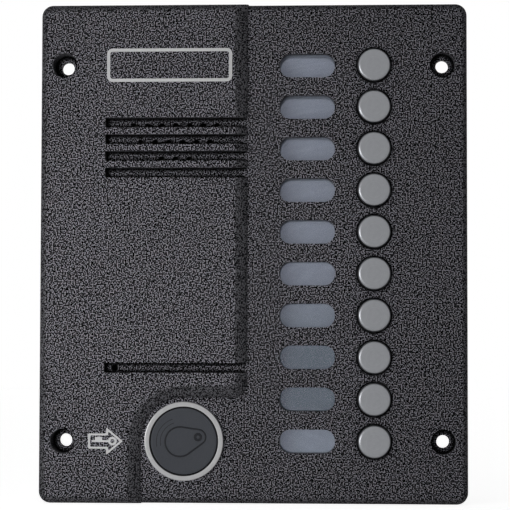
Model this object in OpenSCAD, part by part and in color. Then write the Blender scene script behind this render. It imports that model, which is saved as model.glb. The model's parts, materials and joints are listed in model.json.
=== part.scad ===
// Door intercom: a cast call panel with ten buttons, name windows, a key reader, a speaker and a
// microphone, closed behind by a box that sits in the wall.
// Everything is drawn lying on its back: x to the right, y up the panel, z out of the wall.
// upright() then stands it up, with its front towards -Y and the wall plane at Y = 0.

/* [Panel] */
// Width of the panel
panel_w = 130; // [128:0.5:138]
// Height of the panel
panel_h = 152; // [151:0.5:164]
// Height of the low front surface above the wall
panel_t = 6; // [5.5:0.1:8]
// Thickness of the front wall
wall_t = 3; // [2.6:0.1:3.4]
// Corner radius of the panel
corner_r = 3.5; // [3:0.1:6]
// Rounding of the low front edge
edge_r = 2; // [1:0.1:2.4]
// Rise of the left half above the low surface
step_h = 2.8; // [1.5:0.1:4]
// Width of the rounded slope of the step
step_w = 4.2; // [4.1:0.1:6]
// Rise of the slope's middle above a straight line
step_bulge = 0.25; // [0.15:0.05:0.4]
// Distance of the step's foot from the panel's left side
step_at = 63.3; // [61:0.1:66]
// Rounding of the raised half's outer edge
raised_edge_r = 2.6; // [1.6:0.1:2.8]

/* [Wall screws] */
// Distance of the screw holes from the panel's sides
screw_inset = 7.5; // [7:0.1:8]
// Spacing of the screw holes up the panel
screw_pitch_up = 114.3; // [100:0.1:120]
// Diameter of the screw holes
screw_hole_d = 3.9; // [3.5:0.1:4.8]
// Diameter of the recess for the screw head
screw_head_d = 7.6; // [7:0.1:8.4]
// Metal left under the screw head
screw_floor = 2; // [1.6:0.1:2.6]

/* [Call buttons] */
// Spacing of the buttons
button_pitch = 12.7; // [12.5:0.1:13.1]
// Distance of the button column from the panel's right side
button_inset = 28.25; // [28:0.05:30]
// Diameter of a button
button_d = 10; // [8:0.1:10.1]
// How far a button stands out of the low surface
button_proud = 1.6; // [1.2:0.1:3]
// Rounding of a button's edge
button_edge_r = 0.7; // [0.3:0.1:1]
// Radial clearance of a button in its bore
button_clear = 0.1; // [0.05:0.05:0.2]
// Chamfer at the mouth of the bore
mouth_chamfer = 0.4; // [0.2:0.1:0.6]
// Width of the retaining flange beyond the button
flange_lip = 1; // [0.6:0.1:1.1]
// Room between the flats of neighbouring flanges
flange_room = 1; // [0.6:0.1:1.4]
// Thickness of the retaining flange
flange_t = 1.2; // [0.8:0.1:2]
// Diameter of the stem that meets the switch
stem_d = 3.4; // [2.4:0.1:4]
// Length of the stem
stem_l = 0.55; // [0.4:0.05:2]
// Travel of a button
button_travel = 1; // [0.6:0.1:1.5]

/* [Switches and springs] */
// Width of a switch body
switch_w = 6; // [5:0.1:6.2]
// Height of a switch body
switch_h = 3.4; // [3:0.1:5]
// Height of the switch plunger
plunger_h = 0.7; // [0.5:0.1:1.5]
// Diameter of the switch plunger
plunger_d = 3.4; // [2.5:0.1:4]
// Wire diameter of the return spring
spring_wire = 0.6; // [0.4:0.05:0.7]
// Turns of the return spring
spring_turns = 4; // [3:1:5]
// Clearance of the spring round the switch
spring_clear = 0.35; // [0.25:0.05:0.5]

/* [Name windows] */
// Width of a window
window_w = 16.8; // [14:0.1:18]
// Height of a window
window_h = 7.2; // [6:0.1:9]
// Corner radius of a window
window_r = 3.3; // [1:0.1:3.4]
// Distance of the windows from the button column
window_gap = 20.3; // [19.5:0.1:20.6]
// Overlap of the clear strip round the windows
strip_margin = 3; // [2:0.1:3.4]
// Thickness of the clear strip
strip_t = 1.6; // [1:0.1:2]
// Thickness of the name card
card_t = 0.3; // [0.2:0.05:0.6]

/* [Slots] */
// Width of a slot
slot_w = 3; // [2.4:0.1:3.6]
// Spacing of the speaker slots
slot_pitch = 5.1; // [4.4:0.1:5.5]
// Distance of the first speaker slot from the panel's top
slot_down = 36.4; // [36:0.1:38]
// Distance of the slots' closed ends from the panel's left side
slot_inset = 20; // [19:0.1:24]
// Height of the microphone slot above the panel's bottom
mic_slot_up = 41; // [40:0.1:46]
// Diameter of the sound holes
sound_hole_d = 2; // [1.5:0.1:2.4]
// Distance of the sound holes below the middle of their slot
sound_hole_drop = 0.9; // [0.8:0.05:1.1]
// Spacing of the sound holes
sound_hole_pitch = 4.25; // [3.5:0.05:4.4]

/* [Speaker] */
// Diameter of the speaker
speaker_d = 36; // [34:0.5:37]
// How far the speaker sits to the left of the slots' middle
speaker_shift = 0.4; // [0:0.1:1]
// Distance of the speaker's centre from the panel's top
speaker_down = 34.5; // [34:0.1:36]
// Thickness of the speaker's gasket
gasket_t = 1; // [0.6:0.1:1.4]
// Depth of the basket behind its rim
basket_depth = 5.4; // [5:0.1:8]
// Diameter of the magnet
magnet_d = 21; // [16:0.5:24]
// Length of the magnet
magnet_l = 5.6; // [4:0.1:8]
// Width of a clamp
clamp_w = 5; // [4.5:0.1:6]
// Thickness of a clamp
clamp_t = 0.8; // [0.6:0.1:1.2]

/* [Microphone] */
// Diameter of the capsule
capsule_d = 6; // [4:0.1:6.4]
// Height of the capsule
capsule_h = 2.8; // [2:0.1:4]
// Wall of the rubber boot
boot_wall = 1; // [0.8:0.1:1.2]
// Distance of the microphone from the slot's closed end
mic_in_slot = 3; // [2.9:0.1:5]

/* [Key reader] */
// Distance of the reader's centre from the panel's left side
reader_inset = 44.2; // [43.5:0.1:45]
// Diameter of the ring
ring_d = 23.9; // [23:0.1:25]
// Width of the ring's face
ring_face = 1.55; // [1.4:0.05:2.4]
// How far the ring stands out of the low surface
ring_proud = 2; // [1.6:0.1:3]
// Rounding of the ring's edges
ring_edge_r = 0.3; // [0.1:0.05:0.5]
// Gap between the ring and the foot of the step
pocket_gap = 1.25; // [0.8:0.05:2]
// Depth of the pad's face below the ring's face
pad_recess = 0.35; // [0.1:0.05:0.6]
// Radial clearance of the pad in the ring
pad_clear = 0.35; // [0.1:0.05:0.4]
// Diameter of the threaded barrel
barrel_d = 18; // [16:0.1:19]
// Wall of the barrel
barrel_wall = 1.5; // [1.2:0.1:2]
// Metal of the nut between its thread and its flats
nut_wall = 1; // [0.8:0.1:1.2]
// Thickness of the nut
nut_t = 3; // [2:0.1:4]

/* [Signs] */
// Distance of the nameplate frame's ends from the slots' ends and the step
frame_margin = 0.4; // [0.2:0.1:4]
// Height of the nameplate frame
frame_h = 10.25; // [8:0.05:12]
// Width of the frame's line
frame_line = 1; // [0.6:0.05:1.6]
// Corner radius of the frame
frame_r = 1.7; // [1.6:0.1:3]
// Length of the arrow
arrow_l = 10.6; // [9.5:0.1:11]
// Height of the arrow's head
arrow_head_h = 8.4; // [7.5:0.1:9]
// Length of the arrow's head
arrow_head_l = 5.1; // [4.6:0.1:5.5]
// Height of the arrow's shaft
arrow_shaft_h = 4.6; // [4:0.1:5]
// Width of the arrow's line
arrow_line = 0.6; // [0.4:0.05:0.8]
// Gap between the arrow's tip and the slope of the pocket
arrow_gap = 0.9; // [0.5:0.1:1.4]
// Thickness of the signs
sign_t = 0.15; // [0.1:0.05:0.4]

/* [Rear box] */
// Width of the panel's rim above and below the box
box_rim = 4; // [3.9:0.1:5]
// Wall of the box
box_wall = 2; // [1.6:0.1:2.6]
// Corner radius of the box
box_r = 4; // [3:0.1:6]
// Clearance of the box in the panel
box_clear = 0.3; // [0.2:0.05:0.5]
// Room behind the tallest component
box_air = 1.9; // [1:0.1:8]
// Radius of the screw pillars
pillar_r = 3; // [2.8:0.1:3.2]
// Diameter of the box screws
box_screw_d = 3; // [2.5:0.1:3.2]
// Thickness of the box seal
box_seal_t = 1; // [0.6:0.1:1.5]
// Width of the wall seal
wall_seal_w = 2; // [1.4:0.1:2.1]
// Depth of the wall seal's groove
wall_seal_t = 1.2; // [0.8:0.1:1.5]
// Land between the box and the wall seal
wall_seal_land = 0.8; // [0.6:0.1:0.9]
// Bore of the cable grommet
grommet_bore_d = 7; // [5:0.1:9]
// Wall of the grommet in the hole
grommet_wall = 1.5; // [1.2:0.1:2.5]
// Lip of the grommet beyond the hole
grommet_lip = 2; // [1.2:0.1:3]

/* [Boards] */
// Thickness of the circuit boards
board_t = 1.6; // [1:0.1:2]
// Diameter of the bosses under the keypad board
boss_d = 4.4; // [4:0.1:4.6]
// Diameter of the small screws
small_screw_d = 2.5; // [2:0.1:2.6]
// Height of the small screws' heads
small_head_h = 1.6; // [1:0.1:1.8]
// Length of the main board's standoffs
standoff_l = 11; // [10.6:0.1:14]
// Width of a standoff across its flats
standoff_flats = 5; // [4.5:0.1:5.2]
// Height of the relay
relay_h = 12.5; // [10:0.1:16]
// Width of the relay
relay_w = 15.5; // [12:0.1:16]
// Length of the relay
relay_l = 19.5; // [16:0.1:20]
// Diameter of a capacitor
capacitor_d = 8; // [6:0.1:8.4]
// Height of a capacitor
capacitor_h = 11.5; // [8:0.1:14]
// Spacing of the terminals
terminal_pitch = 5.08; // [4.5:0.01:5.4]
// Height of the terminal block
terminal_h = 10; // [8:0.1:12]
// Diameter of the inner wires
wire_d = 1; // [0.8:0.1:1.4]

/* [Hidden] */
$fn = 64;
button_count = 10;
sink = 0.5;
fit = 0.05;
contact_gap = 0.05;
corners = [[-1, -1], [-1, 1], [1, -1], [1, 1]];

// Heights above the wall plane
low = panel_t;
top = panel_t + step_h;
inner = panel_t - wall_t;
step_lip = 0.1;
step_run = step_w - step_lip;
step_chord = sqrt(step_run * step_run + step_h * step_h);
step_arc_r = (step_chord * step_chord / 4 + step_bulge * step_bulge) / (2 * step_bulge);
step_arc_back = step_arc_r - step_bulge;

// Places on the panel: the insets hold for a panel of the drawn size and spread with it
drawn_w = 130;
drawn_h = 152;
across = panel_w / drawn_w;
up = panel_h / drawn_h;
left = -panel_w / 2;
step_foot = left + step_at * across;
step_x = step_foot - step_w;
button_x = panel_w / 2 - button_inset * across;
window_x = button_x - window_gap * across;
row_pitch = button_pitch * up;
function row_y(i) = (button_count / 2 + 0.5 - i) * row_pitch;
screw_x = panel_w / 2 - screw_inset;
screw_y = screw_pitch_up * up / 2;
slot_left = left + slot_inset * across;
slot_y = panel_h / 2 - slot_down * up;
slot_count = 4;
sound_holes = [7, 6, 3];
sound_hole_head = 0.3;
mic_slot_y = mic_slot_up * up - panel_h / 2;
mic_x = slot_left + mic_in_slot;
reader_x = left + reader_inset * across;
reader_y = row_y(button_count);
pocket_r = ring_d / 2 + pocket_gap + step_w;
pocket_x = reader_x - pocket_r;
pocket_y = reader_y + pocket_r;
speaker_x = (slot_left + step_foot) / 2 - speaker_shift;
speaker_y = panel_h / 2 - speaker_down * up;
window_corner = min(window_r, window_h / 2 - 0.1);
frame_w = step_x - slot_left - 2 * frame_margin;
arrow_x = pocket_x - arrow_gap - arrow_l;

// Button stack
flange_d = button_d + 2 * flange_lip;
flange_flats = row_pitch - flange_room;
flange_front = inner - contact_gap * 2;
flange_back = flange_front - flange_t;
stem_end = flange_back - stem_l;
plunger_top = stem_end - button_travel - contact_gap;
keypad_front = plunger_top - plunger_h - switch_h;
keypad_back = keypad_front - board_t;
spring_r = switch_w * sqrt(2) / 2 + spring_clear + spring_wire / 2;

// Clear strip and keypad board
strip_w = window_w + 2 * strip_margin;
strip_h = row_y(1) * 2 + window_h + 2 * strip_margin;
strip_back = inner - strip_t;
rail_w = 1.2;
lip_t = 0.4;
lip_w = 0.8;
rail_l = card_t + lip_t + 2 * contact_gap;
board_edge = 0.2;
keypad_boss_x = [
    window_x - strip_w / 2 - 3 * board_edge - boss_d / 2,
    button_x + flange_d / 2 + board_edge + boss_d / 2
];
keypad_boss_rows = [1.5, 5.5, 9.5];
keypad_left = keypad_boss_x[0] - boss_d / 2 - board_edge;
keypad_right = keypad_boss_x[1] + boss_d / 2 + board_edge;
keypad_h = row_y(1) * 2 + flange_d + 4 * board_edge;
keypad_screw_l = 6;

// Microphone
boot_d = capsule_d + 2 * boot_wall;
boot_front_t = 1.5;
capsule_front = inner - boot_front_t;
capsule_back = capsule_front - capsule_h;
boot_back = capsule_back - 0.3;
collar_d = boot_d + 2 * (fit + 1.2);
collar_h = 3.5;

// Rear box
board_room = 0.45;
box_in_w = 2 * (board_room + max(keypad_right, speaker_d / 2 - speaker_x, collar_d / 2 - mic_x));
box_w = box_in_w + 2 * box_wall;
box_h = panel_h - 2 * box_rim;
box_in_h = box_h - 2 * box_wall;
box_rim_z = inner - box_seal_t;
pillar_x = box_in_w / 2 - pillar_r + box_clear;
pillar_y = box_in_h / 2 - pillar_r + box_clear;
panel_pillar_r = pillar_r - box_clear - 2 * fit;
box_screw_end = low - 1.4;
box_head_d = box_screw_d + 2.6;
box_head_h = 2;
box_screw_play = 0.2;

// Main board
main_front = inner - standoff_l;
main_back = main_front - board_t;
main_left = -box_in_w / 2 + 2 * board_room;
main_right = keypad_left - 4 * board_room;
speaker_room = 7.5;
main_top = speaker_y - speaker_d / 2 - speaker_room;
main_bottom = -pillar_y + pillar_r + 2 * board_room;
main_inset = 3.2;
standoff_x = [main_left + main_inset, main_right - main_inset];
standoff_at = [
    [standoff_x[0], main_bottom + main_inset],
    [standoff_x[0], main_top - main_inset],
    [standoff_x[1], main_top - main_inset],
    [standoff_x[1], reader_y + barrel_d / 2 + nut_wall + 1.5 * main_inset]
];
stud_l = 1.8;
tallest = max(relay_h, capacitor_h, terminal_h);
box_floor = main_back - tallest - box_air;
box_back = box_floor - box_wall;
part_gap = 1.2;
corner_room = 2 * main_inset + 2 * part_gap;
chip_w = 18;
chip_l = 7.5;
chip_h = 2.3;
terminal_count = 6;
terminal_w = 9;
relay_at = [main_left + part_gap + relay_w / 2, main_top - corner_room - relay_l / 2];
capacitor_x = main_right - 2 * part_gap - capacitor_d / 2;
capacitor_at = [for (i = [0, 1])
    [capacitor_x, main_top - corner_room - capacitor_d / 2 - i * (capacitor_d + part_gap)]];
terminal_at = [(main_left + main_right) / 2, main_bottom + corner_room + terminal_w / 2];
chip_at = [
    main_left + 2 * part_gap + chip_w / 2,
    (relay_at[1] - relay_l / 2 + terminal_at[1] + terminal_w / 2) / 2
];
terminal_bore_d = 3;

// Ribbon between the boards
header_w = 5;
header_l = 14;
header_h = 6;
ribbon_y = (row_y(keypad_boss_rows[1]) + row_y(keypad_boss_rows[2])) / 2;
ribbon_x = [main_right - part_gap - header_w / 2, keypad_left + boss_d + header_w / 2];
ribbon_t = 1;
ribbon_l = 12.7;
ribbon_bend = 2.5;
ribbon_run = 1;
ribbon_z = min(main_back, keypad_back) - header_h - ribbon_run - ribbon_bend - ribbon_t;

// Cable grommet
grommet_up = 25;
grommet_at = [(window_x + button_x) / 2, grommet_up - box_in_h / 2];
grommet_d = grommet_bore_d + 2 * grommet_wall;
grommet_lip_t = 1.5;

// Speaker
gasket_w = 2.4;
rim_z = inner - gasket_t;
rim_t = 0.8;
basket_back = rim_z - basket_depth;
basket_in_d = speaker_d - 6.8;
clamp_at = speaker_d / 2 + 3.5;
clamp_z = rim_z - rim_t;
clamp_screw_end = inner + 1.6;
tag_w = 6;
tag_l = 3.2;
lead_gap = 3;
lead_rings = 14;

// Key reader
web_t = 0.6;
pad_seat = low + web_t;
pad_front = low + ring_proud - pad_recess;
pad_d = ring_d - 2 * ring_face - 2 * pad_clear;
barrel_bore_d = barrel_d - 2 * barrel_wall;
barrel_end = inner - nut_t - 1.5;
nut_flats = barrel_d + 2 * nut_wall;
bobbin_d = barrel_bore_d - 4.4;
bobbin_end = inner - 2;
coil_d = barrel_bore_d - 0.6;
coil_room = 0.2;

function two_digits(i) = str(i < 10 ? "0" : "", i);
function button_name(i) = str("call_button_", two_digits(i));
function spring_name(i) = str("button_spring_", two_digits(i));

// Shared shapes

module upright() {
    rotate([90, 0, 0]) children();
}

module slab(z0, z1) {
    translate([0, 0, z0]) linear_extrude(z1 - z0) children();
}

module disc(d, z0, z1) {
    translate([0, 0, z0]) cylinder(d = d, h = z1 - z0);
}

module hexagon(flats, z0, z1) {
    translate([0, 0, z0]) cylinder(d = flats / cos(30), h = z1 - z0, $fn = 6);
}

module brick(w, l, z0, z1) {
    translate([-w / 2, -l / 2, z0]) cube([w, l, z1 - z0]);
}

module rounded_rect(w, h, r) {
    square([w - 2 * r, h], center = true);
    square([w, h - 2 * r], center = true);
    for (c = corners) translate([c[0] * (w / 2 - r), c[1] * (h / 2 - r)]) circle(r);
}

module outline_rect(w, h, r, line) {
    difference() {
        rounded_rect(w, h, r);
        rounded_rect(w - 2 * line, h - 2 * line, r - line);
    }
}

// A rectangle that reaches from the axis to r, with its outer top corner rounded
module edge_profile(r, h, round_r) {
    difference() {
        square([r, h]);
        translate([r - round_r, h - round_r]) difference() {
            square(round_r + 1);
            circle(round_r);
        }
    }
}

// A plate with round corners and a rounded front edge
module plate(w, h, t, r, round_r) {
    brick(w - 2 * r, h - 2 * r, 0, t);
    for (side = [0, 180]) rotate(side) {
        translate([w / 2 - r, h / 2 - r, 0]) rotate([90, 0, 0]) linear_extrude(h - 2 * r)
            edge_profile(r, t, round_r);
        translate([r - w / 2, h / 2 - r, 0]) rotate([90, 0, 90]) linear_extrude(w - 2 * r)
            edge_profile(r, t, round_r);
        translate([w / 2 - r, h / 2 - r, 0]) rotate_extrude(angle = 90) edge_profile(r, t, round_r);
        translate([r - w / 2, h / 2 - r, 0]) rotate(90) rotate_extrude(angle = 90) edge_profile(r, t, round_r);
    }
}

// One closed tube through a list of rings of points
module sweep(rings) {
    sides = len(rings[0]);
    last = len(rings) - 1;
    polyhedron(
        points = [for (ring = rings) each ring],
        faces = concat(
            [for (j = [1:sides - 2]) [0, j, j + 1]],
            [for (j = [1:sides - 2]) [last * sides, last * sides + j + 1, last * sides + j]],
            [for (i = [0:last - 1], j = [0:sides - 1])
                [i * sides + j, (i + 1) * sides + j, i * sides + (j + 1) % sides]],
            [for (i = [0:last - 1], j = [0:sides - 1])
                [(i + 1) * sides + j, (i + 1) * sides + (j + 1) % sides, i * sides + (j + 1) % sides]]
        )
    );
}

// A pan-head screw: its head lies under head_z and its shank reaches up to end_z
module pan_screw(d, head_d, head_h, head_z, end_z) {
    difference() {
        union() {
            disc(d, head_z - sink, end_z);
            translate([0, 0, head_z]) mirror([0, 0, 1]) rotate_extrude()
                edge_profile(head_d / 2, head_h, head_h / 3);
        }
        for (turn = [0, 90]) rotate(turn)
            brick(head_d * 0.6, head_d * 0.16, head_z - head_h - 1, head_z - head_h / 2);
    }
}

module small_screw(head_z, end_z) {
    pan_screw(small_screw_d, small_screw_d * 1.8, small_head_h, head_z, end_z);
}

module at_corners(x, y) {
    for (c = corners) translate([c[0] * x, c[1] * y, 0]) children();
}

module at_rows(x) {
    for (i = [1:button_count]) translate([x, row_y(i), 0]) children();
}

module at_keypad_bosses() {
    for (x = keypad_boss_x, i = keypad_boss_rows) translate([x, row_y(i), 0]) children();
}

module at_standoffs() {
    for (place = standoff_at) translate([place[0], place[1], 0]) children();
}

module at_clamps() {
    for (turn = [60, 120, 240, 300]) translate([speaker_x, speaker_y, 0]) rotate(turn) children();
}

// Front panel

// Section across the slope of the step: flat side at 0, foot at step_w
module step_profile() {
    intersection() {
        translate([
            step_lip + step_run / 2 - step_arc_back * step_h / step_chord,
            low + step_h / 2 - step_arc_back * step_run / step_chord
        ]) circle(step_arc_r);
        translate([0, low - sink / 2]) square([step_w * 2, step_h + sink / 2]);
    }
    square([step_w / 2, low]);
}

// The raised half, with the pocket for the key reader cut out of its lower right corner
module raised_half() {
    slab(0, top) {
        translate([left - 1, pocket_y]) square([step_x - left + 1, panel_h]);
        translate([left - 1, -panel_h]) square([pocket_x - left + 1, panel_h + pocket_y + sink]);
        difference() {
            translate([pocket_x - sink, reader_y]) square(pocket_r + sink);
            translate([reader_x, reader_y]) circle(pocket_r);
        }
    }
    translate([step_x, pocket_y, 0]) rotate([90, 0, 180]) linear_extrude(panel_h - pocket_y)
        mirror([1, 0]) step_profile();
    translate([step_x, pocket_y, 0]) rotate(-90) rotate_extrude(angle = 90) step_profile();
    translate([step_x, pocket_y, 0]) rotate([90, 0, -90]) linear_extrude(step_x - reader_x) step_profile();
    translate([reader_x, reader_y, 0]) rotate(90) rotate_extrude(angle = 90)
        translate([pocket_r, 0]) mirror([1, 0]) step_profile();
    translate([pocket_x, reader_y, 0]) rotate([90, 0, 0]) linear_extrude(panel_h + reader_y) step_profile();
}

module panel_slots() {
    run = step_foot + sink - slot_left;
    for (y = concat([for (i = [0:slot_count - 1]) slot_y - i * slot_pitch], [mic_slot_y]))
        translate([slot_left, y - slot_w / 2, low]) cube([run, slot_w, step_h + 1]);
}

module panel_hollows() {
    slab(-1, inner) rounded_rect(box_w + 2 * box_clear, box_h + 2 * box_clear, box_r + box_clear);
    slab(-1, wall_seal_t) wall_seal_outline();
}

module panel_bosses() {
    at_corners(pillar_x, pillar_y) disc(2 * panel_pillar_r, 0, inner + sink);
    at_keypad_bosses() disc(boss_d, keypad_front, inner + sink);
    at_clamps() translate([clamp_at, 0, 0]) disc(clamp_w - 0.4, clamp_z, inner + sink);
    translate([mic_x, mic_slot_y, 0]) disc(collar_d, inner - collar_h, inner + sink);
}

module panel_bores() {
    at_corners(screw_x, screw_y) {
        disc(screw_hole_d, -1, low);
        disc(screw_head_d, screw_floor, top + 1);
    }
    at_corners(pillar_x, pillar_y) disc(box_screw_d + 2 * fit, -1, box_screw_end + 0.4);
    at_keypad_bosses() disc(small_screw_d + 2 * fit, keypad_front - 1, keypad_front + keypad_screw_l);
    at_clamps() translate([clamp_at, 0, 0]) disc(small_screw_d + 2 * fit, clamp_z - 1, clamp_screw_end + 0.2);
    at_standoffs() disc(small_screw_d + 2 * fit, inner - 1, inner + stud_l + 0.2);
    at_rows(button_x) {
        disc(button_d + 2 * button_clear, inner - 1, low + 1);
        translate([0, 0, low - mouth_chamfer])
            cylinder(d1 = button_d + 2 * button_clear, d2 = button_d + 2 * button_clear + 4 * mouth_chamfer,
                h = 2 * mouth_chamfer);
    }
    at_rows(window_x) slab(inner - 1, low + 1) rounded_rect(window_w, window_h, window_corner);
    translate([reader_x, reader_y, 0]) disc(barrel_d + 4 * fit, inner - 1, low + 1);
    for (row = [0:len(sound_holes) - 1], i = [0:sound_holes[row] - 1])
        translate([
            speaker_x + (i - (sound_holes[row] - 1) / 2) * sound_hole_pitch,
            slot_y - row * slot_pitch - sound_hole_drop
        ]) disc(sound_hole_d, inner - 1, low + sound_hole_head);
    translate([mic_x, mic_slot_y, 0]) {
        disc(sound_hole_d, inner - 1, low + 1);
        disc(boot_d + 2 * fit, inner - collar_h - 1, inner);
    }
}

module front_panel() {
    color("#49484d") upright() difference() {
        union() {
            difference() {
                union() {
                    plate(panel_w, panel_h, low, corner_r, edge_r);
                    intersection() {
                        plate(panel_w, panel_h, top, corner_r, raised_edge_r);
                        raised_half();
                    }
                }
                panel_hollows();
                panel_slots();
            }
            panel_bosses();
        }
        panel_bores();
    }
}

// Signs on the raised half

module nameplate_frame() {
    color("#bebec0") upright() translate([(slot_left + step_x) / 2, row_y(1), 0])
        slab(top, top + sign_t) outline_rect(frame_w, frame_h, frame_r, frame_line);
}

// Half of an arrow's outline, from its blunt end to its tip, drawn inwards by inset
function arrow_half(inset) =
    let (
        root = arrow_l - arrow_head_l + inset,
        slope = arrow_head_h / 2 / arrow_head_l,
        back = inset * sqrt(1 + slope * slope),
        shoulder = slope * (arrow_l - root) - back
    )
    [[inset, arrow_shaft_h / 2 - inset], [root, arrow_shaft_h / 2 - inset], [root, shoulder],
     [arrow_l - back / slope, 0]];

module arrow_outline(inset) {
    half = arrow_half(inset);
    polygon(concat(half, [for (i = [2:-1:0]) [half[i][0], -half[i][1]]]));
}

// A key with its bow towards the arrow's tip and one bit
module key_outline() {
    bow_r = arrow_shaft_h * 0.28;
    key_l = arrow_l * 0.585;
    difference() {
        union() {
            translate([0, -arrow_line / 2]) square([key_l, arrow_line]);
            translate([key_l, 0]) circle(bow_r);
            translate([key_l * 0.14, 0]) square([key_l * 0.36, bow_r * 0.95]);
        }
        translate([key_l, 0]) circle(bow_r * 0.47);
    }
}

module key_arrow_sign() {
    color("#bebec0") upright() translate([arrow_x, reader_y, 0]) slab(top, top + sign_t) {
        difference() {
            arrow_outline(0);
            arrow_outline(arrow_line);
        }
        translate([arrow_line * 2, 0]) key_outline();
    }
}

// Call buttons

// The flange has flats above and below, so that neighbours clear each other
module call_button(i) {
    color("#85878c") upright() translate([button_x, row_y(i), 0]) {
        rotate_extrude() {
            translate([0, flange_back])
                edge_profile(button_d / 2, low + button_proud - flange_back, button_edge_r);
            translate([0, stem_end]) square([stem_d / 2, stem_l + sink]);
        }
        intersection() {
            disc(flange_d, flange_back, flange_front);
            brick(flange_d + 1, flange_flats, flange_back - 1, flange_front + 1);
        }
    }
}

module button_spring(i) {
    steps = spring_turns * 10;
    sides = 6;
    from = keypad_front + spring_wire / 2 + contact_gap;
    rise = flange_back - keypad_front - spring_wire - 2 * contact_gap;
    color("#c9c9c4") upright() translate([button_x, row_y(i), 0]) sweep([
        for (step = [0:steps]) let (turn = 360 * spring_turns * step / steps) [
            for (side = [0:sides - 1]) let (a = 360 * side / sides, r = spring_r + spring_wire / 2 * cos(a))
                [r * cos(turn), r * sin(turn), from + rise * step / steps + spring_wire / 2 * sin(a)]
        ]
    ]);
}

// Name windows

module label_window_strip() {
    color("#c9d2d8", 0.6) upright() translate([window_x, 0, 0]) {
        slab(strip_back, inner) square([strip_w, strip_h], center = true);
        for (side = [-1, 1]) {
            translate([side * (strip_w - rail_w) / 2, 0, 0])
                brick(rail_w, strip_h, strip_back - rail_l, strip_back);
            translate([side * (strip_w / 2 - rail_w - lip_w / 2), 0, 0])
                brick(lip_w, strip_h, strip_back - rail_l, strip_back - rail_l + lip_t);
        }
    }
}

module name_card() {
    color("#8a909a") upright() translate([window_x, 0, 0])
        brick(strip_w - 2 * rail_w - 4 * contact_gap, strip_h, strip_back - card_t, strip_back);
}

// Keypad board

module keypad_board() {
    color("#2f6b43") upright() difference() {
        translate([(keypad_left + keypad_right) / 2, 0, 0])
            brick(keypad_right - keypad_left, keypad_h, keypad_back, keypad_front);
        at_keypad_bosses() disc(small_screw_d + 4 * fit, keypad_back - 1, keypad_front + 1);
        at_corners(pillar_x, pillar_y) disc(2 * (pillar_r + fit), keypad_back - 1, keypad_front + 1);
    }
}

module call_switches() {
    color("#26262a") upright() at_rows(button_x) {
        brick(switch_w, switch_w, keypad_front, keypad_front + switch_h);
        disc(plunger_d, keypad_front + switch_h - sink, plunger_top);
    }
}

module backlight_leds() {
    led_w = 3.5;
    led_l = 2.8;
    led_h = 1.4;
    color("#f2eec8") upright() at_rows(window_x) {
        brick(led_w, led_l, keypad_front, keypad_front + led_h);
        disc(led_l * 0.8, keypad_front + led_h - sink, keypad_front + led_h + 0.4);
    }
}

module keypad_screws() {
    color("#b9bbbd") upright() at_keypad_bosses() small_screw(keypad_back, keypad_front + keypad_screw_l - 0.5);
}

// Main board

module main_board() {
    color("#2f6b43") upright() difference() {
        translate([(main_left + main_right) / 2, (main_top + main_bottom) / 2, 0])
            brick(main_right - main_left, main_top - main_bottom, main_back, main_front);
        at_standoffs() disc(small_screw_d + 4 * fit, main_back - 1, main_front + 1);
    }
}

module board_standoffs() {
    color("#c2a14d") upright() at_standoffs() difference() {
        union() {
            hexagon(standoff_flats, main_front, inner);
            disc(small_screw_d, inner - sink, inner + stud_l);
        }
        disc(small_screw_d + 2 * fit, main_front - 1, main_front + keypad_screw_l);
    }
}

module board_screws() {
    color("#b9bbbd") upright() at_standoffs() small_screw(main_back, main_front + keypad_screw_l - 0.5);
}

module lock_relay() {
    color("#2b4f86") upright() translate([relay_at[0], relay_at[1], 0]) {
        brick(relay_w, relay_l, main_back - relay_h, main_back - 0.8);
        brick(relay_w - 2, relay_l - 2, main_back - 2, main_back);
    }
}

module controller_chip() {
    legs = 14;
    leg_pitch = 1.27;
    leg_w = 0.45;
    leg_reach = 1.3;
    color("#1d1d20") upright() translate([chip_at[0], chip_at[1], 0]) {
        brick(chip_w, chip_l, main_back - chip_h, main_back - 0.2);
        for (i = [0:legs - 1]) translate([(i - (legs - 1) / 2) * leg_pitch, 0, 0])
            brick(leg_w, chip_l + 2 * leg_reach, main_back - 0.5, main_back);
    }
}

module smoothing_capacitors() {
    color("#2a2d52") upright() for (p = capacitor_at) translate([p[0], p[1], main_back]) mirror([0, 0, 1])
        rotate_extrude() difference() {
            edge_profile(capacitor_d / 2, capacitor_h, 0.6);
            translate([capacitor_d / 2 + 0.3, 2]) circle(0.7);
        }
}

module terminal_block() {
    color("#3d7a50") upright() translate([terminal_at[0], terminal_at[1], 0]) difference() {
        brick(terminal_count * terminal_pitch, terminal_w, main_back - terminal_h, main_back);
        at_terminals() {
            disc(terminal_bore_d + 2 * fit, main_back - terminal_h - 1, main_back - terminal_h / 2);
            translate([0, 0, main_back - terminal_h * 0.7]) rotate([90, 0, 0])
                disc(terminal_bore_d, 0, terminal_w);
        }
    }
}

module at_terminals() {
    for (i = [0:terminal_count - 1])
        translate([(i - (terminal_count - 1) / 2) * terminal_pitch, 0, 0]) children();
}

module terminal_screws() {
    color("#c9c9c4") upright() translate([terminal_at[0], terminal_at[1], 0]) at_terminals() difference() {
        disc(terminal_bore_d, main_back - terminal_h + 0.6, main_back - terminal_h / 2);
        brick(terminal_bore_d + 1, 0.6, main_back - terminal_h, main_back - terminal_h + 1.4);
    }
}

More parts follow.
